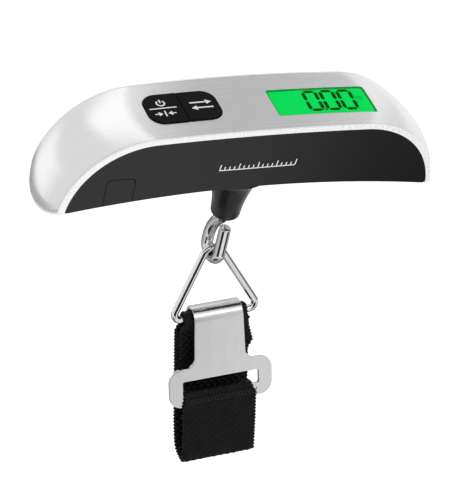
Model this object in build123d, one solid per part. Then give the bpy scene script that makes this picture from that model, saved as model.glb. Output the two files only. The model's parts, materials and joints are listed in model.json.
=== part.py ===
from build123d import *
import math
import os

# Digital luggage scale: a T-shaped handle with a weighing hook, a triangular ring
# and a short webbing loop with a steel buckle plate.
# Frame: origin on the middle of the handle's top face, +X along the handle
# (display side), -Y towards the front face, +Z up.  All sizes are millimetres.

# ---- handle outline (seen from the front) ----
END_R = 36.2              # radius of the rounded ends
END_X = 41.3              # centre of each end radius
END_Z = -37.3
TIP_Z = -32.55            # height of the lower corners
ARCH = 6.0                # how far the underside arches up in the middle
TIP_ROUND = 1.2           # rounding of the lower corners
TIP_X = END_X + math.sqrt(END_R**2 - (TIP_Z - END_Z) ** 2)
ARCH_R = (TIP_X**2 + ARCH**2) / (2 * ARCH)
ARCH_Z = TIP_Z + ARCH - ARCH_R

# ---- handle plan (seen from above) ----
DEPTH = 35.2              # front to back in the middle
PLAN_BULGE = 1.07         # how much slimmer each side is at the ends
END_BULGE = 4.0           # how far the ends bulge past the front face's tips
TIP_Y = 16.53             # depth of the front face's tips
BELLY = 5.8               # how far the underside hangs below the face's lower edge
BODY_SECTIONS = (-19.0, -17.0, -14.0, -9.0, 0.0, 9.0, 14.0, 17.0, 19.0)

# ---- shells ----
RIM = 2.1                 # thickness of the silver upper case
SKIN = 0.5                # steel cover plate
SKIN_MARGIN = 0.9         # rim left in view along the cover plate
WALL = 2.0                # black lower case
FIT = 0.1                 # gap between pieces that are fastened together
FACE_STEP = 0.15          # black faces sit just behind the rim

# ---- display and keys ----
WINDOW = (8.3, 49.9, -9.3, 6.9)
WINDOW_ROUND = 1.0
WINDOW_THICK = 1.5
KEYPAD = (-42.6, -12.9, -8.4, 9.4)
KEYPAD_ROUND = 6.0
KEY_SPLIT = (-27.95, -27.65)  # the gap between the two keys
KEY_GAP = 0.25            # clearance round each key
KEY_PROUD = 0.5
KEY_TRAVEL = 0.6
FLANGE_LIP = 0.9
BOARD_TOP = -7.4
BOARD_THICK = 1.0

# ---- load cell ----
CELL_LENGTH = 60.0
CELL_WIDTH = 12.0
CELL_TOP = -13.0
CELL_THICK = 7.0
SCREW_X = (21.0, 27.0)

# ---- neck and hook ----
NECK_Z = -53.8
NECK_R = 5.9
BORE_R = 3.1
WIRE_R = 2.4              # hook wire
SHANK_HOLE_R = 2.47
SWIVEL = 9.5              # rest angle of the hook about the neck, degrees
BOWL_R = 4.65             # centre line of the hook's bowl
BOWL_H = 2.05             # bowl centre, behind the neck axis in the hook's plane
BOWL_Z = -72.4
HOOK_TIP_Z = -59.1
BACK_R = 19.0             # long bend up the back of the hook
SHANK_BEND_R = 8.0

# ---- ring ----
RING_WIRE_R = 1.5
RING_APEX_R = 4.6
RING_CORNER_R = 2.6
RING_HALF_ANGLE = 29.5
RING_DROP = 28.8          # apex to bar, centre lines
HANG_TILT = (-20.3, -5.2)  # ring and strap as they hang at rest, about X and about Y
RING_SEAT = 0.3

# ---- strap and buckle plate (heights are measured from the ring's bar) ----
WEB_WIDTH = 31.5
WEB_NECK = 27.0           # webbing gathered where it goes round the bar
WEB_THICK = 1.6
WRAP_R = 3.4
STRAP_BOTTOM = -60.0
STRAP_SHIFT = -0.3        # strap off the bar's middle, just below the bar
STRAP_LEAN = -2.5         # and at its lower end
PLATE_THICK = 1.3
CURL_R = 5.2              # outside of the curl that hangs on the bar
PLATE_SHIFT = -0.2
PLATE_HALF = 22.1
PLATE_ROUND = 5.6
PLATE_BOTTOM = -36.1
SLOT = (-24.9, -30.7)     # top and bottom of the webbing slot
SLOT_HALF = 16.2
END_SHIFT = -1.3          # folded end of the webbing, off the plate's middle
END_HALF = 15.6           # half of its width inside the slot
END_OFFSET = 0.9          # and how far that part stands back towards the middle

os.makedirs("parts", exist_ok=True)


# ---------------------------------------------------------------- handle shapes
def circle_cross(ax, az, ar, bx, bz, br):
    """Crossing of two circles with the larger X."""
    dx, dz = bx - ax, bz - az
    dist = math.hypot(dx, dz)
    along = (dist**2 + ar**2 - br**2) / (2 * dist)
    off = math.sqrt(ar**2 - along**2)
    points = []
    for side in (-1, 1):
        x = ax + (along * dx - side * off * dz) / dist
        z = az + (along * dz + side * off * dx) / dist
        points.append((x, z))
    return max(points)


def end_bulge(y):
    """How far the end at depth y stands past the front face's tips."""
    return END_BULGE * (1 - (y / TIP_Y) ** 2)


def belly(y):
    """How far the underside at depth y hangs below the face's lower edge."""
    return BELLY * (1 - abs(2 * y / DEPTH) ** 2.5)


def outline(y, inset, bottom_inset):
    """Side view of the handle at depth y, moved in by inset (and bottom_inset below)."""
    end_x = END_X + end_bulge(y)
    full_top_r = (end_x**2 + END_Z**2 - END_R**2) / (2 * (-END_Z - END_R))
    end_r = END_R - inset
    top_r = full_top_r - inset
    arch_r = ARCH_R + bottom_inset - belly(y)
    reach = top_r / math.hypot(end_x, END_Z + full_top_r)
    tx, tz = end_x * reach, -full_top_r + (END_Z + full_top_r) * reach
    ex, ez = circle_cross(end_x, END_Z, end_r, 0, ARCH_Z, arch_r)
    mid = (math.atan2(tz - END_Z, tx - end_x) + math.atan2(ez - END_Z, ex - end_x)) / 2
    mx, mz = end_x + end_r * math.cos(mid), END_Z + end_r * math.sin(mid)
    edges = [
        ThreePointArc((-tx, tz), (0, -inset), (tx, tz)),
        ThreePointArc((tx, tz), (mx, mz), (ex, ez)),
        ThreePointArc((ex, ez), (0, ARCH_Z + arch_r), (-ex, ez)),
        ThreePointArc((-ex, ez), (-mx, mz), (-tx, tz)),
    ]
    face = make_face(edges)
    return fillet([v for v in face.vertices() if v.Y < tz - 5], TIP_ROUND)


def plan(inset):
    """Plan of the handle's front and back faces, moved in by inset."""
    half = DEPTH / 2 - inset
    end = TIP_X + 2 * END_BULGE
    drop = PLAN_BULGE * (end / TIP_X) ** 2
    front = ThreePointArc((-end, -half + drop), (0, -half), (end, -half + drop))
    back = ThreePointArc((end, half - drop), (0, half), (-end, half - drop))
    return make_face([front, Line(front @ 1, back @ 0), back, Line(back @ 1, front @ 0)])


def body(inset, bottom_inset, plan_inset):
    """The handle's solid, moved in by the three insets."""
    sections = []
    for y in BODY_SECTIONS:
        sections.append(Plane.XZ.offset(-y) * outline(y, inset, bottom_inset))
    top = extrude(Plane.XY.offset(-70) * plan(plan_inset), 80)
    return loft(sections) & top


def block(x0, x1, y0, y1, z0, z1):
    """Box between two corners."""
    centre = ((x0 + x1) / 2, (y0 + y1) / 2, (z0 + z1) / 2)
    return Pos(*centre) * Box(x1 - x0, y1 - y0, z1 - z0)


def post(x, y, r, z0, z1):
    """Upright cylinder between two heights."""
    return Pos(x, y, (z0 + z1) / 2) * Cylinder(r, z1 - z0)


def pad(rect, grow, corner, z0, z1):
    """Rounded upright prism over a plan rectangle (x0, x1, y0, y1)."""
    x0, x1, y0, y1 = rect
    shape = RectangleRounded(x1 - x0 + 2 * grow, y1 - y0 + 2 * grow, corner)
    return extrude(Pos((x0 + x1) / 2, (y0 + y1) / 2, z0) * shape, z1 - z0)


def underside(x, y):
    """Height of the handle's underside."""
    return ARCH_Z + math.sqrt((ARCH_R - belly(y)) ** 2 - x**2)


CASE_SCREWS = [(sx * 66.0, sy * 9.0) for sx in (-1, 1) for sy in (-1, 1)]
BOARD_POSTS = [(x, y) for x in (-9.0, 54.2) for y in (-11.2, 11.2)]
SWITCHES = [(-35.2, 0.5), (-20.3, 0.5)]
CELL_AT = (-50.0, 0.5)
COIN_R = 10.0
COIN_Z = (-30.2, -27.0)
DOOR_PANEL = (-60.6, -37.5, -13.5, 12.5)
DOOR_TAB = (-60.6, -49.0)
DOOR_TAB_TOP = -18.4
DOOR_GAP = 0.25


# ---------------------------------------------------------------- handle pieces
def make_top_plate():
    skin = body(0, SKIN_MARGIN, SKIN_MARGIN) - body(SKIN, -3, 0)
    skin -= pad(WINDOW, 0, WINDOW_ROUND, -10, 5)
    return skin - pad(KEYPAD, 0, KEYPAD_ROUND, -10, 5)


def make_upper_case():
    shell = body(0, 0, 0) - body(RIM, -3, -2)
    shell -= body(-1, SKIN_MARGIN - FIT, SKIN_MARGIN - FIT) - body(SKIN + FIT, -3, -2)
    frame = pad(WINDOW, 2.5, 2, -4.2, 0) & body(RIM - 0.2, 0, 3)
    shell += frame
    for x, y in CASE_SCREWS:
        shell += post(x, y, 2.8, underside(x, y) + 7, -8) & body(RIM - 0.2, 0, 1)
    for x, y in BOARD_POSTS:
        shell += post(x, y, 2.2, BOARD_TOP, 0) & body(RIM - 0.2, 0, 1)
    seat = body(-1, 0, 2) - body(WINDOW_THICK + FIT, -3, 0)
    shell -= pad(WINDOW, FIT, WINDOW_ROUND + FIT, -10, 5) & seat
    shell -= pad(WINDOW, -1.3, 1, -10, 5)
    shell -= pad(KEYPAD, 0, KEYPAD_ROUND, -10, 5)
    for x, y in CASE_SCREWS:
        shell -= post(x, y, 1.0, underside(x, y), -14)
    for x, y in BOARD_POSTS:
        shell -= post(x, y, 0.8, BOARD_TOP - 1, -5.2)
    return shell


def make_neck():
    """Trumpet-shaped neck under the middle of the handle."""
    sketch = make_face(
        [
            Line((0, -30.0), (13.0, -30.0)),
            Line((13.0, -30.0), (13.0, -31.5)),
            Spline((13.0, -31.5), (9.6, -35.0), (7.6, -41.0), (6.3, -47.5), (NECK_R, NECK_Z + 1.6)),
            ThreePointArc((NECK_R, NECK_Z + 1.6), (NECK_R - 0.47, NECK_Z + 0.47), (NECK_R - 1.6, NECK_Z)),
            Line((NECK_R - 1.6, NECK_Z), (0, NECK_Z)),
            Line((0, NECK_Z), (0, -30.0)),
        ]
    )
    return revolve(Plane.XZ * sketch, Axis.Z)


def door_region(gap):
    """Space that the battery door takes out of the lower case."""
    x0, x1, y0, y1 = DOOR_PANEL
    panel = pad((x0, x1, y0, y1), gap, 3, -45, -28)
    tab = block(DOOR_TAB[0] - gap, DOOR_TAB[1] + gap, -25, -14.9 + gap, -45, DOOR_TAB_TOP + gap)
    tab = fillet(tab.edges().filter_by(Axis.Y).group_by(Axis.Z)[-1], 2.0)
    return panel + tab + block(DOOR_TAB[0] - gap, DOOR_TAB[1] + gap, -25, -10, -45, -28.6)


def make_lower_case():
    tray = body(RIM + FIT, 0, FACE_STEP) - body(RIM - 1, WALL, FACE_STEP + WALL)
    tray += make_neck()
    x, y = CELL_AT
    shelf = block(x - 12.8, x + 13.5, -30, 30, COIN_Z[0] - 0.3, COIN_Z[0] + 2.2)
    shelf &= body(RIM + 1, WALL + 0.4, FACE_STEP + WALL - 0.5)
    shelf -= post(x, y, COIN_R + 0.4, -45, 0)
    shelf -= block(x + COIN_R - 0.4, x + COIN_R + 0.9, y - 3.4, y + 3.4, -40, 0)
    tray += shelf
    tray -= door_region(0) & block(-90, 0, -30, 30, -45, 0)
    for cx, cy in CASE_SCREWS:
        low = underside(cx, cy)
        tray += post(cx, cy, 2.8, low + 0.5, low + 7 - FIT) & body(RIM + 0.5, 0.3, 1)
    for sx in (-1, 1):
        for sy in (-1, 1):
            tray += post(sx * 29.0, sy * 11.0, 2.0, underside(29, 11) + 1, -23.0)
    for cx, cy in CASE_SCREWS:
        tray -= post(cx, cy, 1.3, -45, -20)
        tray -= post(cx, cy, 2.4, -45, underside(cx, cy) + 2.2)
    tray -= post(0, 0, BORE_R, -60, -20)
    tray -= post(0, 0, 4.4, -50.5, -20)
    return tray


def make_battery_door():
    wall = body(RIM + FIT, 0, FACE_STEP) - body(RIM - 1, WALL, FACE_STEP + WALL)
    return wall & door_region(-DOOR_GAP)


def make_window():
    glass = body(0.02, 0, 2) - body(WINDOW_THICK, -3, 0)
    return glass & pad(WINDOW, -FIT, WINDOW_ROUND, -10, 5)


def make_lcd_glass():
    x0, x1, y0, y1 = WINDOW
    return block(x0 - 0.5, x1 + 0.5, y0 - 0.5, y1 + 0.5, -6.0, -4.4)


def make_backlight():
    x0, x1, y0, y1 = WINDOW
    return block(x0 + 0.5, x1 - 0.5, y0 + 2.5, y1 - 2.5, BOARD_TOP + 0.1, -6.1)


def make_lcd_frame():
    x0, x1, y0, y1 = WINDOW
    outer = block(x0 - 1.6, x1 + 1.6, y0 - 1.6, y1 + 1.6, BOARD_TOP + 0.1, -4.9)
    outer -= block(x0 - 0.6, x1 + 0.6, y0 - 0.6, y1 + 0.6, -9, 0)
    return outer


def make_zebra_strips():
    x0, x1, y0, y1 = WINDOW
    strips = [block(x0 + 1, x1 - 1, y, y + 1.8, BOARD_TOP + 0.02, -6.02) for y in (y0, y1 - 1.8)]
    return Compound(children=strips)


def make_circuit_board():
    board = block(-47.0, 57.0, -13.5, 13.5, BOARD_TOP - BOARD_THICK, BOARD_TOP)
    board = fillet(board.edges().filter_by(Axis.Z), 2.0)
    for x, y in BOARD_POSTS:
        board -= post(x, y, 1.0, -12, 0)
    return board


def make_board_screws():
    screws = []
    for x, y in BOARD_POSTS:
        under = BOARD_TOP - BOARD_THICK
        screws.append(post(x, y, 1.6, under - 1.2, under) + post(x, y, 0.75, under, -5.4))
    return Compound(children=screws)


def make_controller_chip():
    cap = Pos(30, 0, BOARD_TOP - BOARD_THICK - 0.9) * Cylinder(4.5, 1.8)
    return fillet(cap.edges().group_by(Axis.Z)[0], 1.2)


def make_tactile_switches():
    parts = []
    for x, y in SWITCHES:
        base = block(x - 3, x + 3, y - 3, y + 3, BOARD_TOP, BOARD_TOP + 1.6)
        parts.append(base + post(x, y, 1.6, BOARD_TOP + 1.6, BOARD_TOP + 2.1))
    return Compound(children=parts)


def make_key_mat():
    x0, x1, y0, y1 = KEYPAD
    mat = pad((x0, x1, y0, y1), 1.5, KEYPAD_ROUND, BOARD_TOP + 0.02, BOARD_TOP + 0.8)
    for x, y in SWITCHES:
        mat -= block(x - 3.2, x + 3.2, y - 3.2, y + 3.2, -9, 0)
    return mat


def make_key(x0, x1, plunger):
    """One key: its cap, a flange below the case and the plunger over its switch."""
    side = block(x0, x1, -20, 20, -12, 5)
    cap = pad(KEYPAD, -KEY_GAP, KEYPAD_ROUND - KEY_GAP, -6, 5) & side
    cap = cap & (body(-KEY_PROUD, 0, 1) - body(3.0, -3, 0))
    flange = pad(KEYPAD, FLANGE_LIP, KEYPAD_ROUND, -6, 5) & side
    flange = flange & (body(RIM + 0.3, 0, 1) - body(3.0, -3, 0))
    stem = post(plunger[0], plunger[1], 1.5, BOARD_TOP + 2.1 + KEY_TRAVEL + 0.1, -3.0)
    return cap + flange + stem


def make_load_cell():
    """Beam held at both ends and pulled in the middle, thinned at its two necks."""
    half = CELL_LENGTH / 2
    beam = block(-half, half, -CELL_WIDTH / 2, CELL_WIDTH / 2, CELL_TOP - CELL_THICK, CELL_TOP)
    beam = fillet(beam.edges().filter_by(Axis.Z), 1.5)
    for x in (-12.0, 12.0):
        beam -= Pos(x, 0, CELL_TOP - CELL_THICK / 2) * Rot(90, 0, 0) * Cylinder(2.6, CELL_WIDTH + 2)
    beam -= post(0, 0, SHANK_HOLE_R, -30, 0)
    for sx in (-1, 1):
        for x in SCREW_X:
            beam -= post(sx * x, 0, 1.75, -30, 0)
    return beam


def make_load_cell_bracket():
    """Steel strap that carries the beam's ends and rests on the lower case."""
    bracket = block(-33.0, 33.0, -13.0, 13.0, -22.9, -21.4)
    for sx in (-1, 1):
        bracket += block(min(sx * 17, sx * 30), max(sx * 17, sx * 30), -6, 6, -21.4, CELL_TOP - CELL_THICK)
    bracket -= post(0, 0, 5.0, -30, 0)
    for sx in (-1, 1):
        for x in SCREW_X:
            bracket -= post(sx * x, 0, 1.55, -30, 0)
    return bracket


def make_load_cell_screws():
    screws = []
    for sx in (-1, 1):
        for x in SCREW_X:
            head = post(sx * x, 0, 2.9, CELL_TOP, CELL_TOP + 2.2)
            head -= Pos(sx * x, 0, CELL_TOP + 2.2) * extrude(RegularPolygon(1.3, 6), -1.2)
            screws.append(head + post(sx * x, 0, 1.5, -23.4, CELL_TOP))
    return Compound(children=screws)


def make_strain_gauges():
    gauges = []
    for x in (-12.0, 12.0):
        gauges.append(block(x - 3, x + 3, -2, 2, CELL_TOP, CELL_TOP + 0.2))
        gauges.append(block(x - 3, x + 3, -2, 2, CELL_TOP - CELL_THICK - 0.2, CELL_TOP - CELL_THICK))
    return Compound(children=gauges)


def make_sensor_wires():
    wires = []
    for i in range(4):
        y = -2.4 + 1.6 * i
        path = FilletPolyline((14.4, y, -12.3), (16.4, y, -11.0), (16.4, y, -8.5), radius=0.9)
        section = Plane(origin=path @ 0, z_dir=path % 0) * Circle(0.35)
        wires.append(sweep(section, path=path))
    return Compound(children=wires)


def make_case_screws():
    screws = []
    for x, y in CASE_SCREWS:
        seat = underside(x, y) + 2.2
        head = post(x, y, 2.1, seat - 1.4, seat)
        head -= block(x - 1.3, x + 1.3, y - 0.3, y + 0.3, seat - 2, seat - 0.8)
        head -= block(x - 0.3, x + 0.3, y - 1.3, y + 1.3, seat - 2, seat - 0.8)
        screws.append(head + post(x, y, 0.95, seat, seat + 12))
    return Compound(children=screws)


def make_coin_cell():
    cell = post(CELL_AT[0], CELL_AT[1], COIN_R, COIN_Z[0], COIN_Z[1])
    return fillet(cell.edges(), 0.5)


def make_contact_positive():
    """Bent strip against the rim of the cell."""
    x, y = CELL_AT
    reach = x + COIN_R + 0.1
    strip = block(reach, reach + 0.3, y - 3, y + 3, COIN_Z[0] + 0.8, -24.0)
    strip += block(reach, reach + 4, y - 3, y + 3, -24.3, -24.0)
    return strip


def make_contact_negative():
    """Leaf spring on top of the cell."""
    x, y = CELL_AT
    leaf = block(x - 8, x + 4, y - 2, y + 2, COIN_Z[1] + 1.2, COIN_Z[1] + 1.5)
    leaf += block(x - 1, x + 1.5, y - 2, y + 2, COIN_Z[1] + 0.05, COIN_Z[1] + 1.2)
    return leaf


# ---------------------------------------------------------------- hook
def hook_place(shape):
    """From the hook's own plane (YZ, Y towards the back) to its rest swivel."""
    return Rot(0, 0, SWIVEL) * shape


def tube(path, radius):
    """Round wire along a path."""
    section = Plane(origin=path @ 0, z_dir=path % 0) * Circle(radius)
    return sweep(section, path=path)


def make_hook():
    """Hook wire: shank up the neck, bend to the back, round bowl and front leg."""
    back_h = BOWL_H + BOWL_R
    turn = math.acos(1 - back_h / (BACK_R + SHANK_BEND_R))
    back_z = BOWL_Z + 2.0
    mid_h = back_h - BACK_R * (1 - math.cos(turn))
    mid_z = back_z + BACK_R * math.sin(turn)
    shank_z = mid_z + SHANK_BEND_R * math.sin(turn)
    h = turn / 2
    back_mid = (back_h - BACK_R * (1 - math.cos(h)), back_z + BACK_R * math.sin(h))
    bend_mid = (SHANK_BEND_R * (1 - math.cos(h)), shank_z - SHANK_BEND_R * math.sin(h))
    tip_h = BOWL_H - BOWL_R

    def at(h, z):
        return (0, h, z)

    path = Wire(
        [
            Line(at(0, -9.8), at(0, shank_z)),
            ThreePointArc(at(0, shank_z), at(*bend_mid), at(mid_h, mid_z)),
            ThreePointArc(at(mid_h, mid_z), at(*back_mid), at(back_h, back_z)),
            Line(at(back_h, back_z), at(back_h, BOWL_Z)),
            ThreePointArc(at(back_h, BOWL_Z), at(BOWL_H, BOWL_Z - BOWL_R), at(tip_h, BOWL_Z)),
            Line(at(tip_h, BOWL_Z), at(tip_h, HOOK_TIP_Z)),
        ]
    )
    wire = tube(path, WIRE_R)
    ends = [e for e in wire.edges() if e.geom_type == GeomType.CIRCLE and e.length < 16]
    tip_edges = [e for e in ends if abs(e.center().Z - HOOK_TIP_Z) < 0.1]
    return hook_place(fillet(tip_edges, 0.5))


def make_hook_washer():
    washer = post(0, 0, 5.2, CELL_TOP, CELL_TOP + 0.8)
    return washer - post(0, 0, SHANK_HOLE_R, -30, 0)


def make_hook_nut():
    flats = extrude(Pos(0, 0, CELL_TOP + 0.85) * RegularPolygon(4.0, 6, major_radius=False), 2.6)
    return flats - post(0, 0, WIRE_R + 0.02, -30, 0)


# ---------------------------------------------------------------- ring, strap, plate
def ring_seat():
    """Centre of the ring's wire where it rests in the hook's bowl."""
    sink = BOWL_R - WIRE_R - RING_WIRE_R - RING_SEAT
    angle = math.radians(SWIVEL)
    return (-BOWL_H * math.sin(angle), BOWL_H * math.cos(angle), BOWL_Z - sink)


def hang(shape):
    """From the hanging frame (ring apex at 0, bar along X) to its rest place."""
    return Pos(*ring_seat()) * Rot(0, HANG_TILT[1], 0) * Rot(HANG_TILT[0], 0, 0) * shape


def at_bar(shape):
    """From heights above the ring's bar to the hanging frame."""
    return Pos(0, 0, -RING_DROP) * shape


def make_triangle_ring():
    slope = math.radians(RING_HALF_ANGLE)
    peak = RING_APEX_R / math.sin(slope) - RING_APEX_R
    half = (RING_DROP + peak) * math.tan(slope)
    path = FilletPolyline(
        (half, 0, -RING_DROP), (0, 0, peak), (-half, 0, -RING_DROP),
        radius=(RING_CORNER_R, RING_APEX_R, RING_CORNER_R), close=True,
    )
    return hang(tube(path, RING_WIRE_R))


def web_sweep(points, radii, width):
    """Flat webbing swept along a route in the YZ plane."""
    path = FilletPolyline(*[(0, y, z) for y, z in points], radius=radii)
    section = Plane(origin=path @ 0, x_dir=(1, 0, 0), z_dir=path % 0) * Rectangle(width, WEB_THICK)
    return sweep(section, path=path)


def strap_clip():
    """Front view of the strap: gathered at the bar, then full width with a slight lean."""
    half, neck = WEB_WIDTH / 2, WEB_NECK / 2
    right = [
        (neck, 6), (neck, -2.5), (half + STRAP_SHIFT, -6), (half + STRAP_SHIFT, -20),
        (half + STRAP_LEAN, STRAP_BOTTOM - 3),
    ]
    left = [
        (-half + STRAP_LEAN, STRAP_BOTTOM - 3), (-half + STRAP_SHIFT, -20), (-half + STRAP_SHIFT, -6),
        (-neck, -2.5), (-neck, 6),
    ]
    face = make_face(Polyline(*right, *left, right[0]))
    return extrude(Plane.XZ * face, 20, both=True)


def make_strap_webbing():
    """Webbing: wrap on the ring's bar, back run, bottom fold and front run."""
    mid = WRAP_R - WEB_THICK / 2
    wrap = Rot(0, 90, 0) * (Cylinder(WRAP_R, WEB_WIDTH) - Cylinder(WRAP_R - WEB_THICK, WEB_WIDTH + 1))
    run = web_sweep(
        [(mid, 0), (3.1, -10), (3.5, -52.5), (1.6, -57.0), (-4.9, STRAP_BOTTOM + 0.6), (-5.75, -41.4)],
        (20, 4, 4, 1.0), WEB_WIDTH + 6,
    )
    flap = web_sweep([(-mid, -0.3), (-1.5, -3.4), (1.45, -6.5), (1.55, -17.5)], (2.0, 2.0), WEB_WIDTH + 6)
    flap -= Rot(0, 90, 0) * Cylinder(WRAP_R - WEB_THICK, 60)
    strap = (wrap + run + flap) & strap_clip()
    return hang(at_bar(strap))


def make_strap_buckle_end():
    """End of the webbing, folded round the plate's lower bar and sewn below it."""
    top, low = SLOT[1] + 0.1, PLATE_BOTTOM - 0.1
    front = -CURL_R - 0.1
    back = -CURL_R + PLATE_THICK + 0.1
    sewn = -41.1
    corners = [
        (front - WEB_THICK, sewn), (front - WEB_THICK, top + WEB_THICK), (back + WEB_THICK, top + WEB_THICK),
        (back + WEB_THICK, low - 1.5), (front + WEB_THICK, sewn + 1.6), (front + WEB_THICK, sewn),
    ]
    outer = make_face(Polyline(*corners, corners[0]))
    outer = fillet(outer.vertices().group_by(Axis.Y)[-1], 1.4)
    hole = Pos((front + back) / 2, (top + low) / 2) * Rectangle(back - front, top - low)
    shape = extrude(Plane.YZ * (outer - hole), WEB_WIDTH / 2, both=True)
    in_slot = block(END_OFFSET - END_HALF, END_OFFSET + END_HALF, -10, 10, -50, 0)
    beside = block(-30, 30, front, 5, -39.0, -20) - in_slot
    return hang(at_bar(Pos(END_SHIFT, 0, 0) * (shape - beside)))


def plate_outline():
    """Front view of the buckle plate below its curl."""
    right = [
        (10.4, 0), (10.9, -16.6), (13.3, -19.2), (PLATE_HALF, -19.2), (PLATE_HALF, PLATE_BOTTOM),
    ]
    left = [(-x, z) for x, z in reversed(right)]
    face = make_face(Polyline(*right, *left, right[0]))
    convex = [v for v in face.vertices() if abs(v.X) > 15]
    face = fillet(convex, PLATE_ROUND)
    inner = [v for v in face.vertices() if 10.6 < abs(v.X) < 13.5 and v.Y < -10]
    face = fillet(inner, 1.6)
    slot = Pos(0, (SLOT[0] + SLOT[1]) / 2) * RectangleRounded(2 * SLOT_HALF, SLOT[0] - SLOT[1], 0.8)
    return face - slot


def make_buckle_plate():
    """Steel plate with a webbing slot, curled over the ring's bar at the top."""
    flat = extrude(Plane.XZ.offset(CURL_R - PLATE_THICK) * plate_outline(), PLATE_THICK)
    curl = Cylinder(CURL_R, 20.8) - Cylinder(CURL_R - PLATE_THICK, 22)
    curl = Rot(0, 90, 0) * curl
    curl -= block(-15, 15, -10, 0, -10, 0)
    curl -= block(-15, 15, -0.01, 10, -10, -1.6)
    plate = flat + curl
    return hang(at_bar(Pos(PLATE_SHIFT, 0, 0) * plate))


PIECES = {
    "top_plate": make_top_plate,
    "upper_case": make_upper_case,
    "lower_case": make_lower_case,
    "battery_door": make_battery_door,
    "display_window": make_window,
    "lcd_glass": make_lcd_glass,
    "backlight_panel": make_backlight,
    "lcd_frame": make_lcd_frame,
    "zebra_strips": make_zebra_strips,
    "circuit_board": make_circuit_board,
    "board_screws": make_board_screws,
    "controller_chip": make_controller_chip,
    "tactile_switches": make_tactile_switches,
    "key_mat": make_key_mat,
    "power_key": lambda: make_key(KEYPAD[0] - 1, KEY_SPLIT[0], SWITCHES[0]),
    "unit_key": lambda: make_key(KEY_SPLIT[1], KEYPAD[1] + 1, SWITCHES[1]),
    "load_cell": make_load_cell,
    "load_cell_bracket": make_load_cell_bracket,
    "load_cell_screws": make_load_cell_screws,
    "strain_gauges": make_strain_gauges,
    "sensor_wires": make_sensor_wires,
    "case_screws": make_case_screws,
    "coin_cell": make_coin_cell,
    "battery_contact_positive": make_contact_positive,
    "battery_contact_negative": make_contact_negative,
    "hook": make_hook,
    "hook_washer": make_hook_washer,
    "hook_nut": make_hook_nut,
    "triangle_ring": make_triangle_ring,
    "strap_webbing": make_strap_webbing,
    "strap_buckle_end": make_strap_buckle_end,
    "buckle_plate": make_buckle_plate,
}

for name, make in PIECES.items():
    export_step(make(), f"parts/{name}.step")
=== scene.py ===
"""Digital luggage scale: looks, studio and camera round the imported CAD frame."""

import json
import math

import bmesh
import bpy
import numpy as np
from mathutils import Matrix, Vector
from mathutils.bvhtree import BVHTree


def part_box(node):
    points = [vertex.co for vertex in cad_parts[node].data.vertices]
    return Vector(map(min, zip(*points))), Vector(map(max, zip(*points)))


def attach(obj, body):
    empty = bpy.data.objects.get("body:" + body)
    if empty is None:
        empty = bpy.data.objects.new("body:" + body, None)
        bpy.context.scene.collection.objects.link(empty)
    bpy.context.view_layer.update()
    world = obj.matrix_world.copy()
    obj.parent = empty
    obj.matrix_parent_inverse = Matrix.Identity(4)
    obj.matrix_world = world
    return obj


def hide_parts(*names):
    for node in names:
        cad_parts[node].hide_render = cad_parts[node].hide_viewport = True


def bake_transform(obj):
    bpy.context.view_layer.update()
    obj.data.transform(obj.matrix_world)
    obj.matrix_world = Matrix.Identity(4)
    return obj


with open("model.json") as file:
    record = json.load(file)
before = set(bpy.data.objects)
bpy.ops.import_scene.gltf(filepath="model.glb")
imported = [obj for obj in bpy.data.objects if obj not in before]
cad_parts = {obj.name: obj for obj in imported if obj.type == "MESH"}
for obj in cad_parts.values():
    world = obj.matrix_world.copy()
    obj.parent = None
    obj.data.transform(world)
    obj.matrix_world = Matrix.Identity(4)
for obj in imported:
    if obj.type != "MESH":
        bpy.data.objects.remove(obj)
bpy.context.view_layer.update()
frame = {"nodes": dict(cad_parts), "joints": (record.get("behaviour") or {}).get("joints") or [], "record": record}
MM = 0.001
NODES = frame["nodes"]
JOINTS = {joint["name"]: joint for joint in frame["joints"]}

# ---- webbing, in millimetres from the ring's bar: x along the bar, y to the back, z up the strap
WEB_THICK = 1.6
WEB_WIDTH = 31.5
WEB_CORE = WEB_THICK / 2 - 0.1  # from the middle to the face between the bumps
EDGE_POWER = 22           # how square the webbing's edges are
WEAVE = 2.9               # pitch of the bumps along a row; the next row is half a pitch over
WEAVE_HEIGHT = 0.3
SCALLOP = 0.24            # how far the weft loops stand out of the edges
STEP = 0.25               # mesh size of the weave
WRAP_R = 2.6              # centre line of the webbing round the bar
FOLD_R = 1.55             # the same round the plate's lower bar
FOLD_Y = -4.55
FOLD_Z = -31.35
FRONT_Y = -6.98           # face of the folded end, where it is sewn
CUT = (-2.0, -58.7)       # where the loop and the folded end meet, under the strap
STITCH_START = -14.6
STITCH_PITCH = 1.45
STITCH_COUNT = 20
STITCH_ENDS = (-34.5, -31.8)  # lower and upper ends of the zigzag
STITCH_ARCH = 0.28        # how far each stitch stands off the webbing
THREAD_R = 0.19

# ---- studio cards, seen only in reflections: level, azimuth from +Y to +X, half width, lowest and highest
# elevation in degrees, and distance in metres
UPRIGHT_CARDS = {
    "back_card": (0.45, 29.4, 6.8, 24, 72),
    "back_card_soft": (0.6, 29.4, 10.2, 22, 74, 1.36),
    "front_card": (0.02, 197, 33, -8, 26),
    "left_card": (1.08, -42, 20, -32, 3),
    "right_card": (1.0, 47, 17, -40, 2),
    "right_top_card": (0.96, 44, 5, 4, 33),
    "dark_right_card": (0.1, 108, 20, -5, 48),
}
# level, inner and outer radius in metres, first and last azimuth in degrees
FLOOR_CARDS = {
    "floor_card_near": (0.42, 0.02, 0.30, 0, 360),
    "floor_card_bowl": (0.72, 0.30, 0.37, 0, 360),
    "floor_card_neck": (0.05, 0.05, 0.29, 208, 275),
}
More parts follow.
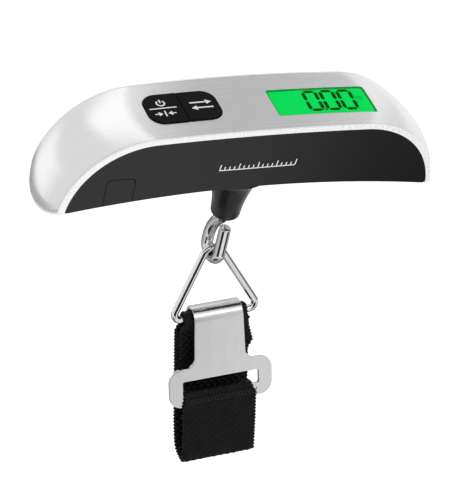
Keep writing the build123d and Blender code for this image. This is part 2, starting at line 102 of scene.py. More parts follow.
# brightness of the outer floor card round the object, by turn from -X through -Y
FLOOR_CARD = (
    (0.0, 0.58), (0.055, 0.58), (0.07, 0.02), (0.175, 0.02), (0.2, 0.85), (0.3, 0.78), (0.336, 0.76),
    (0.35, 0.02), (0.43, 0.02), (0.47, 0.6), (0.53, 0.8), (0.58, 0.8), (0.63, 0.3), (0.76, 0.3),
    (0.85, 0.45), (0.92, 0.4), (1.0, 0.58),
)
OUTER_CARD = (0.37, 0.75)  # its inner and outer radius
CARD_Z = -0.40
FLOOR_Z = -0.42
FLOOR_HALF = 6
# soft boxes: size, place and target in metres, power in watts
LIGHTS = {
    "back_left": ((0.95, 0.6), (-0.05, 1.0, 0.88), (0, 0, -0.05), 0.75),
    "front_top": ((0.5, 0.35), (0.28, -0.75, 1.0), (0, 0, -0.1), 0.85),
}

# ---- camera: place in metres; azimuth from +Y to +X, elevation and roll in radians
CAMERA_AT = (-0.38625, -0.69371, 0.54889)
CAMERA_TURN = (0.51253, -0.66334, 0.23817)
CAMERA_LENS = 183.85

# ---- where rays start, clear of the handle, in metres
ABOVE = 0.02
IN_FRONT = -0.05

# ---- prints, in millimetres of the shared frame
PRINT_LIFT = 0.03
POWER_X = -35.6           # middle of the signs on the left key
UNIT_X = -20.2            # and on the right key
ZERO_Y = -2.75            # middle of the zeroing sign
TICKS = 17
TICK_PITCH = 1.94
TICK_START = -16.0
TICK_FOOT = -17.5
TICK_LEAN = 0.12          # how far a tick leans over for its height
TICK_WIDTH = 0.42

# ---- display, in millimetres of the shared frame
WINDOW_DEPTH = 0.4
WINDOW_ROUND = 1.0        # corner radius of the window
PANE_INSET = 0.02         # between the window and its opening
FACE_INSET = 0.6          # width of the darker edge round the lit face
LAYER = 0.02              # spacing of the layers under the window
DIGIT_SIZE = (5.2, 11.3)
DIGIT_STARTS = (22.9, 30.2, 37.5)
DIGIT_FOOT = -6.3
DIGIT_SLANT = 0.04
SEGMENT = 1.55            # width of a segment
SEGMENT_GAP = 0.22
UNIT_MARK = (45.4, 0.2)


# ------------------------------------------------------------------ materials
def new_material(name):
    """A material with its Principled shader, and the two."""
    material = bpy.data.materials.new(name)
    material.use_nodes = True
    return material, material.node_tree.nodes["Principled BSDF"]


def set_sockets(node, **values):
    """Sets named sockets; underscores stand for spaces."""
    for name, value in values.items():
        node.inputs[name.replace("_", " ")].default_value = value


def grain(material, scale, detail=4.0, stretch=(1, 1, 1)):
    """Noise over the object's own coordinates."""
    tree = material.node_tree
    coords = tree.nodes.new("ShaderNodeTexCoord")
    mapping = tree.nodes.new("ShaderNodeMapping")
    mapping.inputs["Scale"].default_value = stretch
    noise = tree.nodes.new("ShaderNodeTexNoise")
    noise.inputs["Scale"].default_value = scale
    noise.inputs["Detail"].default_value = detail
    tree.links.new(coords.outputs["Object"], mapping.inputs["Vector"])
    tree.links.new(mapping.outputs["Vector"], noise.inputs["Vector"])
    return noise.outputs["Fac"]


def ramp(material, source, low, high, start=0.3, end=0.7):
    """Colours between low and high as source goes from start to end."""
    node = material.node_tree.nodes.new("ShaderNodeValToRGB")
    node.color_ramp.elements[0].position = start
    node.color_ramp.elements[0].color = (*low, 1)
    node.color_ramp.elements[1].position = end
    node.color_ramp.elements[1].color = (*high, 1)
    material.node_tree.links.new(source, node.inputs["Fac"])
    return node.outputs["Color"]


def spread(material, source, low, high):
    """Numbers between low and high."""
    node = material.node_tree.nodes.new("ShaderNodeMapRange")
    node.inputs["From Min"].default_value = 0.3
    node.inputs["From Max"].default_value = 0.7
    node.inputs["To Min"].default_value = low
    node.inputs["To Max"].default_value = high
    material.node_tree.links.new(source, node.inputs["Value"])
    return node.outputs["Result"]


def bumpy(material, shader, source, strength, distance):
    """Bump from source."""
    node = material.node_tree.nodes.new("ShaderNodeBump")
    node.inputs["Strength"].default_value = strength
    node.inputs["Distance"].default_value = distance
    material.node_tree.links.new(source, node.inputs["Height"])
    material.node_tree.links.new(node.outputs["Normal"], shader.inputs["Normal"])


def surface(name, low, high, rough, scale, metal=0.0, bump=0.1, depth=0.00002, stretch=(1, 1, 1),
            specular=0.5, edge=1.0):
    """A material whose colour, roughness and relief follow one noise; edge dims a metal at grazing angles."""
    material, shader = new_material(name)
    noise = grain(material, scale, stretch=stretch)
    link = material.node_tree.links.new
    link(ramp(material, noise, low, high), shader.inputs["Base Color"])
    link(spread(material, noise, *rough), shader.inputs["Roughness"])
    set_sockets(shader, Metallic=metal, Specular_IOR_Level=specular, Specular_Tint=(edge, edge, edge, 1))
    bumpy(material, shader, noise, bump, depth)
    return material


def brushed_steel():
    """Cover plate: fine streaks along the handle, highlights drawn out across it."""
    material, shader = new_material("brushed_cover")
    tree = material.node_tree
    fine = grain(material, 1.0, 3.0, (22, 5200, 22))
    broad = grain(material, 1.0, 2.0, (9, 900, 9))
    mix = tree.nodes.new("ShaderNodeMath")
    mix.operation = "MULTIPLY_ADD"
    mix.inputs[1].default_value = 0.35
    tree.links.new(broad, mix.inputs[0])
    scaled = tree.nodes.new("ShaderNodeMath")
    scaled.operation = "MULTIPLY"
    scaled.inputs[1].default_value = 0.65
    tree.links.new(fine, scaled.inputs[0])
    tree.links.new(scaled.outputs[0], mix.inputs[2])
    streaks = mix.outputs[0]
    colour = ramp(material, streaks, (0.85, 0.85, 0.855), (0.92, 0.92, 0.925), 0.35, 0.65)
    tree.links.new(colour, shader.inputs["Base Color"])
    tree.links.new(spread(material, streaks, 0.24, 0.29), shader.inputs["Roughness"])
    set_sockets(shader, Metallic=1.0, Anisotropic=0.55)
    across = tree.nodes.new("ShaderNodeCombineXYZ")
    across.inputs["Y"].default_value = 1.0
    tree.links.new(across.outputs[0], shader.inputs["Tangent"])
    bumpy(material, shader, streaks, 0.06, 0.00001)
    return material


def only_glow(shader, strength):
    """A surface that gives light and reflects none."""
    set_sockets(shader, Base_Color=(0, 0, 0, 1), Emission_Strength=strength)
    set_sockets(shader, Specular_IOR_Level=0.0, Roughness=1.0)


def glow(name, colour, strength):
    """A lit surface with a faint mottle."""
    material, shader = new_material(name)
    noise = grain(material, 260.0)
    dim = tuple(0.93 * c for c in colour)
    material.node_tree.links.new(ramp(material, noise, dim, colour), shader.inputs["Emission Color"])
    only_glow(shader, strength)
    return material


def clear_window():
    """Thin clear plastic."""
    material, shader = new_material("clear_window")
    noise = grain(material, 900.0)
    material.node_tree.links.new(spread(material, noise, 0.06, 0.12), shader.inputs["Roughness"])
    set_sockets(shader, Base_Color=(0.0, 0.3, 0.05, 1), Alpha=0.06, Specular_IOR_Level=0.3)
    return material


def webbing_material():
    """Black nylon yarn: fine fibres along and across, and a dull sheen."""
    material, shader = new_material("webbing")
    tree = material.node_tree
    fibres = grain(material, 1.0, 3.0, (5200, 5200, 900))
    wear = grain(material, 220.0)
    colour = ramp(material, wear, (0.0015, 0.0015, 0.0017), (0.005, 0.005, 0.0053))
    tree.links.new(colour, shader.inputs["Base Color"])
    tree.links.new(spread(material, fibres, 0.38, 0.6), shader.inputs["Roughness"])
    set_sockets(shader, Specular_IOR_Level=0.22)
    bumpy(material, shader, fibres, 0.3, 0.00006)
    return material


GREY = (0.60, 0.61, 0.63)
MATERIALS = {
    "brushed_cover": brushed_steel(),
    "silver_case": surface("silver_case", (0.94, 0.94, 0.945), (0.97, 0.97, 0.975), (0.25, 0.3), 900,
                           metal=0.1, bump=0.02, specular=0.8),
    "black_case": surface("black_case", (0.006, 0.006, 0.0065), (0.010, 0.010, 0.0105), (0.2, 0.27), 3200,
                          bump=0.12, depth=0.00003, specular=0.4),
    "clear_window": clear_window(),
    "lcd": surface("lcd", (0.1, 0.5, 0.2), (0.12, 0.56, 0.24), (0.1, 0.2), 400),
    "backlight": surface("backlight", (0.75, 0.85, 0.75), (0.82, 0.9, 0.82), (0.25, 0.35), 500),
    "white_plastic": surface("white_plastic", (0.7, 0.7, 0.68), (0.78, 0.78, 0.76), (0.35, 0.45), 700),
    "rubber_grey": surface("rubber_grey", (0.2, 0.2, 0.2), (0.26, 0.26, 0.26), (0.6, 0.75), 900),
    "board_green": surface("board_green", (0.01, 0.11, 0.04), (0.02, 0.17, 0.06), (0.25, 0.4), 350),
    "zinc": surface("zinc", GREY, (0.72, 0.73, 0.75), (0.22, 0.36), 900, metal=1.0),
    "epoxy": surface("epoxy", (0.008, 0.008, 0.008), (0.014, 0.014, 0.014), (0.12, 0.2), 300),
    "switch_metal": surface("switch_metal", GREY, (0.7, 0.7, 0.7), (0.25, 0.35), 900, metal=1.0),
    "rubber_black": surface("rubber_black", (0.015, 0.015, 0.015), (0.025, 0.025, 0.025), (0.6, 0.75), 900),
    "key_black": surface("key_black", (0.004, 0.004, 0.0044), (0.007, 0.007, 0.0075), (0.5, 0.6), 2600,
                         bump=0.2, depth=0.00004, specular=0.06),
    "aluminium_beam": surface("aluminium_beam", (0.72, 0.73, 0.74), (0.82, 0.83, 0.84), (0.25, 0.4), 1,
                              metal=1.0, stretch=(60, 2500, 2500)),
    "gauge_film": surface("gauge_film", (0.5, 0.22, 0.03), (0.6, 0.3, 0.05), (0.2, 0.3), 900),
    "wire_pvc": surface("wire_pvc", (0.35, 0.02, 0.02), (0.45, 0.03, 0.03), (0.3, 0.4), 900),
    "cell_steel": surface("cell_steel", (0.66, 0.66, 0.65), (0.76, 0.76, 0.75), (0.16, 0.26), 1200,
                          metal=1.0),
    "contact_plate": surface("contact_plate", (0.68, 0.65, 0.56), (0.78, 0.75, 0.66), (0.2, 0.3), 1200,
                             metal=1.0),
    "chrome_steel": surface("chrome_steel", (0.84, 0.84, 0.85), (0.9, 0.9, 0.91), (0.06, 0.1), 500,
                            metal=1.0, bump=0.03, depth=0.00001, edge=0.0),
    "webbing": webbing_material(),
    "buckle_steel": surface("buckle_steel", (0.76, 0.76, 0.765), (0.85, 0.85, 0.855), (0.15, 0.2), 1,
                            metal=1.0, bump=0.03, depth=0.00001, stretch=(190, 60, 45), edge=0.5),
}
PRINT_WHITE = surface("print_white", (0.78, 0.78, 0.78), (0.9, 0.9, 0.9), (0.4, 0.55), 3000)
THREAD = surface("thread", (0.008, 0.008, 0.009), (0.016, 0.016, 0.017), (0.4, 0.55), 6000,
                 bump=0.3, depth=0.00005)
LCD_LIT = glow("lcd_lit", (0.0018, 0.80, 0.108), 1.0)
LCD_EDGE = glow("lcd_edge", (0.0015, 0.24, 0.03), 1.0)
LCD_DARK = glow("lcd_dark", (0.004, 0.055, 0.0008), 0.8)
LCD_FAINT = glow("lcd_faint", (0.004, 0.36, 0.04), 0.9)


def dress_cad():
    """Each CAD node takes the material of its record slot."""
    slots = {row["node"]: row["material_slot"] for row in frame["record"]["subparts"]}
    for name, node in NODES.items():
        node.data.materials.clear()
        node.data.materials.append(MATERIALS[slots[name]])


# ------------------------------------------------------------------ mesh helpers
def mesh_object(name, points, faces, material, smooth=True):
    """A mesh object from points in metres."""
    mesh = bpy.data.meshes.new(name)
    mesh.from_pydata([tuple(p) for p in points], [], [tuple(f) for f in faces])
    mesh.update()
    mesh.polygons.foreach_set("use_smooth", [smooth] * len(mesh.polygons))
    mesh.materials.append(material)
    piece = bpy.data.objects.new(name, mesh)
    bpy.context.scene.collection.objects.link(piece)
    return piece


def finish_piece(piece, body):
    """Rides the piece on its body."""
    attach(piece, body)
    return piece


def soften(node, width, segments=2, angle=35):
    """Rounds the sharp edges of a CAD node's shown mesh; width in millimetres, angle in degrees."""
    weld = node.modifiers.new("weld", "WELD")
    weld.merge_threshold = 0.000002
    merge = node.modifiers.new("merge", "DECIMATE")
    merge.decimate_type = "DISSOLVE"
    merge.angle_limit = math.radians(0.6)
    bevel = node.modifiers.new("bevel", "BEVEL")
    bevel.width = width * MM
    bevel.segments = segments
    bevel.limit_method = "ANGLE"
    bevel.angle_limit = math.radians(angle)
    weighted = node.modifiers.new("weighted", "WEIGHTED_NORMAL")
    weighted.keep_sharp = True


def caster(node):
    """Ray caster on a CAD node's mesh."""
    mesh = NODES[node].data
    return BVHTree.FromPolygons([v.co for v in mesh.vertices], [tuple(p.vertices) for p in mesh.polygons])


def link_mesh(name, work, material):
    """A mesh object from a bmesh, which is freed."""
    mesh = bpy.data.meshes.new(name)
    work.to_mesh(mesh)
    work.free()
    mesh.materials.append(material)
    piece = bpy.data.objects.new(name, mesh)
    bpy.context.scene.collection.objects.link(piece)
    return piece


def print_on(name, outlines, node, direction, body, cell=0.35):
    """White flat marks that follow a node's surface, just above it.

    Each outline is a convex polygon in millimetres: (x, y) when direction is down, (x, z) when it is
    to the back.  cell is the size of the mesh that follows the surface.
    """
    surface_tree = caster(node)
    down = direction == "down"
    ray = Vector((0, 0, -1)) if down else Vector((0, 1, 0))
    work = bmesh.new()
    for outline in outlines:
        work.faces.new([work.verts.new((a, b, 0)) for a, b in outline])
    bmesh.ops.triangulate(work, faces=work.faces[:])
    for _ in range(6):
        long_edges = [e for e in work.edges if e.calc_length() > cell * 2]
        if not long_edges:
            break
        bmesh.ops.subdivide_edges(work, edges=long_edges, cuts=1)
        bmesh.ops.triangulate(work, faces=work.faces[:])
    for vert in work.verts:
        a, b = vert.co.x * MM, vert.co.y * MM
        start = Vector((a, b, ABOVE)) if down else Vector((a, IN_FRONT, b))
        hit, _, _, _ = surface_tree.ray_cast(start, ray)
        vert.co = (hit if hit else start) - ray * PRINT_LIFT * MM
    bmesh.ops.recalc_face_normals(work, faces=work.faces[:])
    finish_piece(link_mesh(name, work, PRINT_WHITE), body)


def bar(x0, y0, x1, y1, width):
    """A straight mark from one point to another, as a rectangle."""
    length = math.hypot(x1 - x0, y1 - y0)
    nx, ny = -(y1 - y0) / length * width / 2, (x1 - x0) / length * width / 2
    return [(x0 + nx, y0 + ny), (x1 + nx, y1 + ny), (x1 - nx, y1 - ny), (x0 - nx, y0 - ny)]


def ring_marks(x, y, radius, width, start, end, count=22):
    """An open ring of short marks, angles in degrees."""
    marks = []
    for i in range(count):
        a = math.radians(start + (end - start) * i / count)
        b = math.radians(start + (end - start) * (i + 1) / count)
        inner, outer = radius - width / 2, radius + width / 2
        corners = ((inner, a), (outer, a), (outer, b), (inner, b))
        marks.append([(x + r * math.cos(angle), y + r * math.sin(angle)) for r, angle in corners])
    return marks


# ------------------------------------------------------------------ key and case prints
def power_print():
    """Power sign over a line, with a generic zeroing sign below it."""
    x, y = POWER_X, ZERO_Y
    marks = ring_marks(x, 3.6, 1.55, 0.62, 130, 410)
    marks.append(bar(x, 3.7, x, 5.75, 0.62))
    marks.append(bar(x - 5.4, 0.55, x + 5.4, 0.55, 0.6))
    marks.append(bar(x, y - 1.65, x, y + 1.65, 0.6))
    for side in (-1, 1):
        marks.append([(x + side * 1.0, y), (x + side * 2.7, y + 1.25), (x + side * 2.7, y - 1.25)])
        marks.append(bar(x + side * 2.6, y, x + side * 4.2, y, 0.55))
    print_on("power_sign", marks, "power_key", "down", "power_key")


def unit_print():
    """Two opposed arrows for changing over the unit."""
    x = UNIT_X
    marks = []
    for side, y in ((1, 2.1), (-1, -1.1)):
        marks.append(bar(x - side * 4.3, y, x + side * 2.6, y, 0.75))
        marks.append([(x + side * 4.5, y), (x + side * 2.2, y + 1.35), (x + side * 2.2, y - 1.35)])
    print_on("unit_sign", marks, "unit_key", "down", "unit_key")


def scale_print():
    """A plain graduated line on the front face."""
    line_z = TICK_FOOT - 0.1
    marks = [bar(TICK_START - 0.2, line_z, TICK_START + 31.0, line_z, TICK_WIDTH)]
    for i in range(TICKS):
        x = TICK_START + TICK_PITCH * i
        height = 2.6 if i % 4 == 0 else 1.5
        marks.append(bar(x, TICK_FOOT, x + TICK_LEAN * height, TICK_FOOT + height, TICK_WIDTH))
    print_on("front_scale", marks, "lower_case", "back", "scale")


# ------------------------------------------------------------------ display
def top_height(x, y):
    """Height of the window's surface at a point, or the nearest one just outside it, in millimetres."""
    start = Vector((x * MM, y * MM, ABOVE))
    hit = TOP_TREE.ray_cast(start, Vector((0, 0, -1)))[0]
    if hit is None:
        hit = TOP_TREE.find_nearest(Vector((x * MM, y * MM, 0)))[0]
    return hit.z / MM


def window_plan():
    """The window's plan from the CAD box, in millimetres."""
    low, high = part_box("display_window")
    return low.x / MM, high.x / MM, low.y / MM, high.y / MM


def plan_grid(name, inset, drop, material, thick, count=(24, 16)):
    """A thin plate of the window's rounded plan that follows its surface, drop millimetres below it."""
    x0, x1, y0, y1 = window_plan()
    x0, x1, y0, y1 = x0 + inset, x1 - inset, y0 + inset, y1 - inset
    points = []
    rows = [y0 + WINDOW_ROUND * k / 4 for k in range(4)]
    rows += list(np.linspace(y0 + WINDOW_ROUND, y1 - WINDOW_ROUND, count[1] - 7))
    rows += [y1 - WINDOW_ROUND * k / 4 for k in range(3, -1, -1)]
    for level in (drop, drop + thick):
        for y in rows:
            past = max(0, y0 + WINDOW_ROUND - y, y - y1 + WINDOW_ROUND)
            corner = WINDOW_ROUND - math.sqrt(max(0, WINDOW_ROUND ** 2 - past ** 2))
            for x in np.linspace(x0 + corner, x1 - corner, count[0] + 1):
                points.append(Vector((x * MM, y * MM, (top_height(x, y) - level) * MM)))
    columns, layer = count[0] + 1, (count[0] + 1) * (count[1] + 1)
    faces = []
    for j in range(count[1]):
        for i in range(count[0]):
            a = j * columns + i
            faces.append((a, a + 1, a + 1 + columns, a + columns))
            faces.append((a + layer + columns, a + 1 + columns + layer, a + 1 + layer, a + layer))
    for i in range(count[0]):
        for a, b in ((i, i + 1), (count[1] * columns + i + 1, count[1] * columns + i)):
            faces.append((b, a, a + layer, b + layer))
    for j in range(count[1]):
        left, right = j * columns, j * columns + count[0]
        for a, b in ((left + columns, left), (right, right + columns)):
            faces.append((b, a, a + layer, b + layer))
    piece = mesh_object(name, points, faces, material, smooth=False)
    return finish_piece(piece, "scale")


def segment_marks(x, y, lit):
    """One seven-segment digit: the segments named in lit, with gaps between them."""
    width, height = DIGIT_SIZE
    middle = height / 2
    half, gap = SEGMENT / 2, SEGMENT_GAP
    lines = {
        "a": (0, height, width, height),
        "b": (width, middle, width, height),
        "c": (width, 0, width, middle),
        "d": (0, 0, width, 0),
        "e": (0, 0, 0, middle),
        "f": (0, middle, 0, height),
        "g": (0, middle, width, middle),
    }
    marks = []
    for key in lit:
        ax, ay, bx, by = lines[key]
        length = math.hypot(bx - ax, by - ay)
        ux, uy = (bx - ax) / length, (by - ay) / length
        nx, ny = -uy * half, ux * half
        start, end = gap + half, length - gap - half
        ring = [
            (ax + ux * gap, ay + uy * gap), (ax + ux * start + nx, ay + uy * start + ny),
            (ax + ux * end + nx, ay + uy * end + ny), (ax + ux * (length - gap), ay + uy * (length - gap)),
            (ax + ux * end - nx, ay + uy * end - ny), (ax + ux * start - nx, ay + uy * start - ny),
        ]
        marks.append([(x + px + DIGIT_SLANT * py, y + py) for px, py in ring])
    return marks


def flat_marks(name, outlines, drop, material):
    """Marks at drop millimetres under the window's surface."""
    work = bmesh.new()
    for outline in outlines:
        verts = [work.verts.new((a * MM, b * MM, (top_height(a, b) - drop) * MM)) for a, b in outline]
        work.faces.new(verts)
    finish_piece(link_mesh(name, work, material), "scale")


def display():
    """Lit display face with its edge, the digits, and the thin window over them."""
    plan_grid("lcd_edge", PANE_INSET, WINDOW_DEPTH + 4 * LAYER, LCD_EDGE, thick=0.6)
    plan_grid("lcd_face", FACE_INSET, WINDOW_DEPTH + 2 * LAYER, LCD_LIT, thick=0.2)
    digits = []
    for x in DIGIT_STARTS:
        digits += segment_marks(x, DIGIT_FOOT, "abcdef")
    dot = DIGIT_STARTS[1] - 1.05
    digits.append(bar(dot + 0.5, DIGIT_FOOT, dot - 0.5, DIGIT_FOOT, 1.0))
    flat_marks("lcd_digits", digits, WINDOW_DEPTH + LAYER, LCD_DARK)
    mark_x, mark_y = UNIT_MARK
    small = ring_marks(mark_x + 0.9, mark_y, 0.75, 0.42, 0, 360, 14)
    small.append(bar(mark_x - 0.9, mark_y - 0.9, mark_x - 0.9, mark_y + 1.7, 0.45))
    flat_marks("lcd_unit_mark", small, WINDOW_DEPTH + LAYER, LCD_FAINT)
    clear = MATERIALS["clear_window"]
    window = plan_grid("window_pane", PANE_INSET, 0.0, clear, thick=WINDOW_DEPTH)
    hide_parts("display_window")


# ------------------------------------------------------------------ webbing
def strap_frame():
    """Matrix from the strap's own axes at the ring's bar, in millimetres, to the shared frame in metres."""
    side = Vector(JOINTS["strap_swing"]["axis"]).normalized()
    up = Vector(JOINTS["buckle_lift"]["axis"]).normalized()
    back = up.cross(side)
    place = Vector(JOINTS["strap_swing"]["pos_m"])
    matrix = Matrix((side, back, up)).transposed().to_4x4()
    return Matrix.Translation(place) @ matrix @ Matrix.Scale(MM, 4)


STRAP = strap_frame()


def arc(cy, cz, radius, start, end, count=18):
    """Points of an arc in the strap's side view; angles in degrees from the back, up."""
    points = []
    for i in range(count + 1):
        a = math.radians(start + (end - start) * i / count)
        points.append((cy + radius * math.cos(a), cz + radius * math.sin(a)))
    return points


def smooth_route(corners, step, rounds=3):
    """The route with its corners cut round, in even steps, and its normals."""
    line = np.array(corners, float)
    for _ in range(rounds):
        a, b = line[:-1], line[1:]
        cut = np.stack([0.75 * a + 0.25 * b, 0.25 * a + 0.75 * b], 1).reshape(-1, 2)
        line = np.concatenate([line[:1], cut, line[-1:]])
    along = np.concatenate([[0], np.cumsum(np.linalg.norm(np.diff(line, axis=0), axis=1))])
    count = int(along[-1] / step) + 1
    at = np.linspace(0, along[-1], count)
    line = np.stack([np.interp(at, along, line[:, k]) for k in (0, 1)], 1)
    way = np.gradient(line, axis=0)
    way /= np.linalg.norm(way, axis=1)[:, None]
    return line, np.stack([-way[:, 1], way[:, 0]], 1), at


def weave_relief(x, s):
    """Bumps of the yarns and slow waves of the cloth at x across and s along the webbing."""
    turn = 2 * math.pi / WEAVE
    wave = 0.10 * np.sin(0.33 * x + 0.21 * s) + 0.07 * np.sin(0.9 * x - 0.37 * s)
    uneven = 1 + 0.35 * np.sin(1.7 * x + 0.9 * s) * np.sin(0.8 * x - 1.9 * s)
    checks = np.cos(turn * (x + 0.6 * wave)) * np.cos(turn * (s + 0.9 * wave))
    yarns = 0.75 * np.sign(checks) * np.abs(checks) ** 0.7 + 0.3 * math.cos(2 * turn * s)
    return WEAVE_HEIGHT * uneven * yarns + 0.35 * wave


def band_faces(columns, rows):
    """Faces of a band whose points run row by row, top side then low side, with both ends closed."""
    width = columns + 1
    after = 2 * width
    faces = []
    for k in range(rows - 1):
        top, low = 2 * k * width, (2 * k + 1) * width
        for i in range(columns):
            faces.append((top + i, top + i + 1, top + after + i + 1, top + after + i))
            faces.append((low + i + 1, low + i, low + after + i, low + after + i + 1))
    for k, flip in ((0, False), (rows - 1, True)):
        top, low = 2 * k * width, (2 * k + 1) * width
        for i in range(columns):
            quad = (top + i + 1, top + i, low + i, low + i + 1)
            faces.append(quad[::-1] if flip else quad)
    return faces


def woven_band(name, corners, edges, phase, step):
    """Webbing along a route in the strap's side view.

    edges gives the left and right edge in millimetres for a point of the route; phase is where the
    weave starts along it.
    """
    line, normals, along = smooth_route(corners, step)
    columns = int(WEB_WIDTH / step)
    u = np.linspace(-1, 1, columns + 1)
    thin = np.sqrt(np.clip(1 - np.abs(u) ** EDGE_POWER, 0, 1))
    rows = []
    for (y, z), (ny, nz), s in zip(line, normals, along + phase):
        left, right = edges(y, z)
        ripple = SCALLOP * math.cos(4 * math.pi * s / WEAVE)
        left, right = left - ripple, right + ripple
        x = (left + right) / 2 + u * (right - left) / 2
        relief = weave_relief(x, s)
        for side in (1, -1):
            offset = (side * WEB_CORE + relief) * thin
            rows.append(np.stack([x, y + ny * offset, z + nz * offset], 1))
    world = [STRAP @ Vector(p) for p in np.concatenate(rows)]
    piece = mesh_object(name, world, band_faces(columns, len(line)), MATERIALS["webbing"])
    work = bmesh.new()
    work.from_mesh(piece.data)
    bmesh.ops.remove_doubles(work, verts=work.verts[:], dist=0.000001)
    bmesh.ops.recalc_face_normals(work, faces=work.faces[:])
    work.to_mesh(piece.data)
    work.free()
    return piece


def between(z, *stops):
    """Value at height z from (height, value) stops, from the top down."""
    heights = [-h for h, _ in stops]
    return float(np.interp(-z, heights, [v for _, v in stops]))


def loop_edges(y, z):
    """Left and right edges of the loop: gathered at the bar, drifting left lower down."""
    if y < 2.3 and -19 < z < -3:
        return -15.2, between(z, (-3, 13.4), (-8, 15.2), (-14.5, 16.7), (-17.6, 14.6))
    left = between(z, (-1, -14.0), (-5, -16.5), (-20, -17.0), (-45, -18.0), (-60, -18.4))
    right = between(z, (-1, 13.0), (-5, 15.4), (-17, 15.1), (-30, 14.6), (-45, 13.9), (-60, 13.0))
    return left, right


def end_edges(y, z):
    """Left and right edges of the folded end: narrower in the plate's slot."""
    left = between(z, (-29, -16.1), (-33, -16.3), (-36, -17.0), (-45, -17.5), (-60, -18.4))
    right = between(z, (-29, 12.6), (-31.5, 13.2), (-34, 14.4), (-45, 14.0), (-60, 13.0))
    if y > -4.0 and z > -50:
        left, right = max(left, -16.3), min(right, 13.4)
    return left, right


def webbing():
    """The loop on the ring's bar and the end folded round the plate."""
    step = STEP * 1
    loop = [(1.9, -17.6), (1.85, -12), (1.7, -7.4), (-0.3, -5.2), (-2.2, -2.6)]
    loop += arc(0, 0, WRAP_R, 190, 5)
    loop += [(2.9, -4), (3.15, -10), (3.5, -22), (3.55, -38), (3.5, -50.5), (3.0, -55.0), (1.0, -57.6)]
    loop.append(CUT)
    strap = woven_band("strap", loop, loop_edges, 0, step)
    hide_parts("strap_webbing")
    finish_piece(strap, "strap")
    end = [CUT, (-4.2, -59.3), (-5.5, -59.4), (-5.75, -57.6), (-5.8, -50), (-5.95, -42)]
    end += [(-6.3, -36.5), (-6.2, -32.5)]
    end += arc(FOLD_Y, FOLD_Z, FOLD_R, 175, 5)
    end += [(-3.0, -33), (-3.0, -36.4), (-3.9, -38.6), (-4.15, -41.2)]
    folded = woven_band("strap_fold", end, end_edges, 0.4, step)
    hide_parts("strap_buckle_end")
    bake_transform(folded)


def tube_points(route, radius, sides):
    """Ring of points round each point of a short thread."""
    route = [Vector(p) for p in route]
    points = []
    for k, place in enumerate(route):
        way = (route[min(k + 1, len(route) - 1)] - route[max(k - 1, 0)]).normalized()
        side = way.orthogonal().normalized()
        other = way.cross(side)
        for i in range(sides):
            a = 2 * math.pi * i / sides
            points.append(place + radius * (math.cos(a) * side + math.sin(a) * other))
    return points


def stitches():
    """Zigzag thread that sews the folded end to itself, just under the plate's lower bar."""
    points, faces, sides = [], [], 6
    low, high = STITCH_ENDS
    for row in (0, 1):
        for i in range(STITCH_COUNT):
            x = STITCH_START + STITCH_PITCH * i
            start, end = (low, high) if (i + row) % 2 else (high, low)
            route = []
            for t in np.linspace(0, 1, 7):
                y = FRONT_Y - STITCH_ARCH * math.sin(math.pi * t)
                route.append((x + STITCH_PITCH * t, y, start + (end - start) * t))
            base = len(points)
            points += tube_points(route, THREAD_R, sides)
            for k in range(len(route) - 1):
                for j in range(sides):
                    a, b = base + k * sides + j, base + k * sides + (j + 1) % sides
                    faces.append((a, b, b + sides, a + sides))
            faces.append(tuple(base + j for j in range(sides))[::-1])
            faces.append(tuple(base + (len(route) - 1) * sides + j for j in range(sides)))
    piece = mesh_object("strap_stitches", [STRAP @ Vector(p) for p in points], faces, THREAD)
    finish_piece(piece, "buckle")


# ------------------------------------------------------------------ studio
def area_light(name, size, place, target, power):
    """A soft box."""
    data = bpy.data.lights.new(name, "AREA")
    data.shape = "RECTANGLE"
    data.size, data.size_y = size
    data.energy = power
    lamp = bpy.data.objects.new(name, data)
    bpy.context.scene.collection.objects.link(lamp)
    lamp.location = place
    lamp.rotation_euler = (Vector(target) - Vector(place)).to_track_quat("-Z", "Y").to_euler()


def studio_world():
    """Soft grey studio for reflections and light, white where the camera looks past the floor."""
    world = bpy.data.worlds.new("studio")
    world.use_nodes = True
    bpy.context.scene.world = world
    tree = world.node_tree
    grey = tree.nodes["Background"]
    grey.inputs["Color"].default_value = (0.78, 0.78, 0.783, 1)
    white = tree.nodes.new("ShaderNodeBackground")
    white.inputs["Color"].default_value = (1, 1, 1, 1)
    white.inputs["Strength"].default_value = 1.05
    path = tree.nodes.new("ShaderNodeLightPath")
    mix = tree.nodes.new("ShaderNodeMixShader")
    tree.links.new(path.outputs["Is Camera Ray"], mix.inputs["Fac"])
    tree.links.new(grey.outputs[0], mix.inputs[1])
    tree.links.new(white.outputs[0], mix.inputs[2])
    tree.links.new(mix.outputs[0], tree.nodes["World Output"].inputs["Surface"])


def floor_material():
    """Pale seamless paper, evenly lit."""
    material, shader = new_material("pale_floor")
    noise = grain(material, 30.0)
    colour = ramp(material, noise, (0.93, 0.93, 0.93), (0.96, 0.96, 0.96))
    material.node_tree.links.new(colour, shader.inputs["Base Color"])
    set_sockets(shader, Roughness=0.8, Specular_IOR_Level=0.1)
    set_sockets(shader, Emission_Color=(1, 1, 1, 1), Emission_Strength=0.42)
    return material


def pale_floor():
    """The paper under the object; the metal does not show it."""
    half = FLOOR_HALF
    corners = [(-half, -half, 0), (half, -half, 0), (half, half, 0), (-half, half, 0)]
    piece = mesh_object("floor", corners, [(0, 1, 2, 3)], floor_material(), smooth=False)
    piece.location = (0, 0, FLOOR_Z)
    piece.visible_glossy = False
    return piece


def card_material(name, level):
    """Glowing card with a faint mottle; level is its brightness."""
    material, shader = new_material(name)
    noise = grain(material, 8.0)
    low, high = (0.96 * level,) * 3, (1.04 * level,) * 3
    material.node_tree.links.new(ramp(material, noise, low, high), shader.inputs["Emission Color"])
    only_glow(shader, 1.0)
    return material


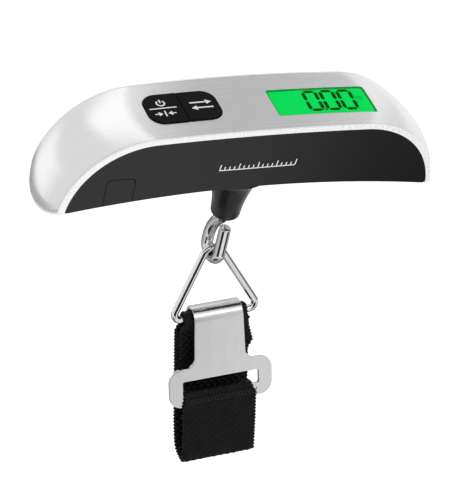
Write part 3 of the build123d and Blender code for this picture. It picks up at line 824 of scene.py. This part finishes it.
def floor_card_material():
    """Card whose brightness changes round the object, for the reflections in the wire."""
    material, shader = new_material("floor_card")
    tree = material.node_tree
    coords = tree.nodes.new("ShaderNodeTexCoord")
    turn = tree.nodes.new("ShaderNodeTexGradient")
    turn.gradient_type = "RADIAL"
    tree.links.new(coords.outputs["Object"], turn.inputs["Vector"])
    node = tree.nodes.new("ShaderNodeValToRGB")
    stops = node.color_ramp.elements
    ends = {0.0: 0, 1.0: -1}
    for place, level in FLOOR_CARD:
        stop = stops[ends[place]] if place in ends else stops.new(place)
        stop.color = (level, level, level, 1)
    tree.links.new(turn.outputs["Color"], node.inputs["Fac"])
    tree.links.new(node.outputs["Color"], shader.inputs["Emission Color"])
    only_glow(shader, 1.0)
    return material


def floor_card(name, inner, outer, first, last, material, lift=0, count=96):
    """Flat ring or part of one just over the floor, between two azimuths."""
    points, faces = [], []
    for i in range(count + 1):
        a = math.radians(first + (last - first) * i / count)
        for radius in (inner, outer):
            points.append((radius * math.sin(a), radius * math.cos(a), 0))
        if i:
            faces.append((2 * i - 2, 2 * i - 1, 2 * i + 1, 2 * i))
    piece = mesh_object(name, points, faces, material, smooth=False)
    piece.location = (0, 0, CARD_Z + lift)
    return piece


def upright_card(name, level, azimuth, half_width, lowest, highest, far=1.3):
    """Card facing the object between two elevations."""
    points = []
    for elevation in (lowest, highest):
        for side in (-1, 1):
            a, e = math.radians(azimuth + side * half_width), math.radians(elevation)
            flat = far * math.cos(e)
            points.append((flat * math.sin(a), flat * math.cos(a), far * math.sin(e)))
    return mesh_object(name, points, [(0, 1, 3, 2)], card_material(name, level), smooth=False)


def studio():
    """Floor, cards for the reflections, and the soft boxes."""
    studio_world()
    pale_floor()
    cards = [floor_card("floor_card", *OUTER_CARD, 0, 360, floor_card_material())]
    for k, (name, (level, *shape)) in enumerate(FLOOR_CARDS.items()):
        cards.append(floor_card(name, *shape, card_material(name, level), lift=0.001 * k))
    for name, (level, *shape) in UPRIGHT_CARDS.items():
        cards.append(upright_card(name, level, *shape))
    for card in cards:
        card.visible_camera = False
        card.visible_diffuse = False
        card.visible_shadow = False
    for name, light in LIGHTS.items():
        area_light(name, *light)


def camera():
    """Long lens from the front left and above, turned a little about its own axis."""
    data = bpy.data.cameras.new("camera")
    data.lens = CAMERA_LENS
    data.sensor_width = 36
    data.clip_start = 0.05
    data.clip_end = 50
    eye = bpy.data.objects.new("camera", data)
    bpy.context.scene.collection.objects.link(eye)
    azimuth, elevation, roll = CAMERA_TURN
    level = math.cos(elevation)
    ahead = Vector((math.sin(azimuth) * level, math.cos(azimuth) * level, math.sin(elevation)))
    side = ahead.cross(Vector((0, 0, 1))).normalized()
    rise = side.cross(ahead)
    right = math.cos(roll) * side + math.sin(roll) * rise
    up = math.cos(roll) * rise - math.sin(roll) * side
    turn = Matrix((right, up, -ahead)).transposed().to_4x4()
    eye.matrix_world = Matrix.Translation(CAMERA_AT) @ turn
    bpy.context.scene.camera = eye


TOP_TREE = caster("display_window")
dress_cad()
camera()
studio()
soften(NODES["buckle_plate"], 0.34, 3)
soften(NODES["top_plate"], 0.1, 2)
soften(NODES["power_key"], 0.35, 3)
soften(NODES["unit_key"], 0.35, 3)
power_print()
unit_print()
scale_print()
display()
webbing()
stitches()

view = bpy.context.scene.view_settings
view.view_transform = "Standard"
view.look = "None"
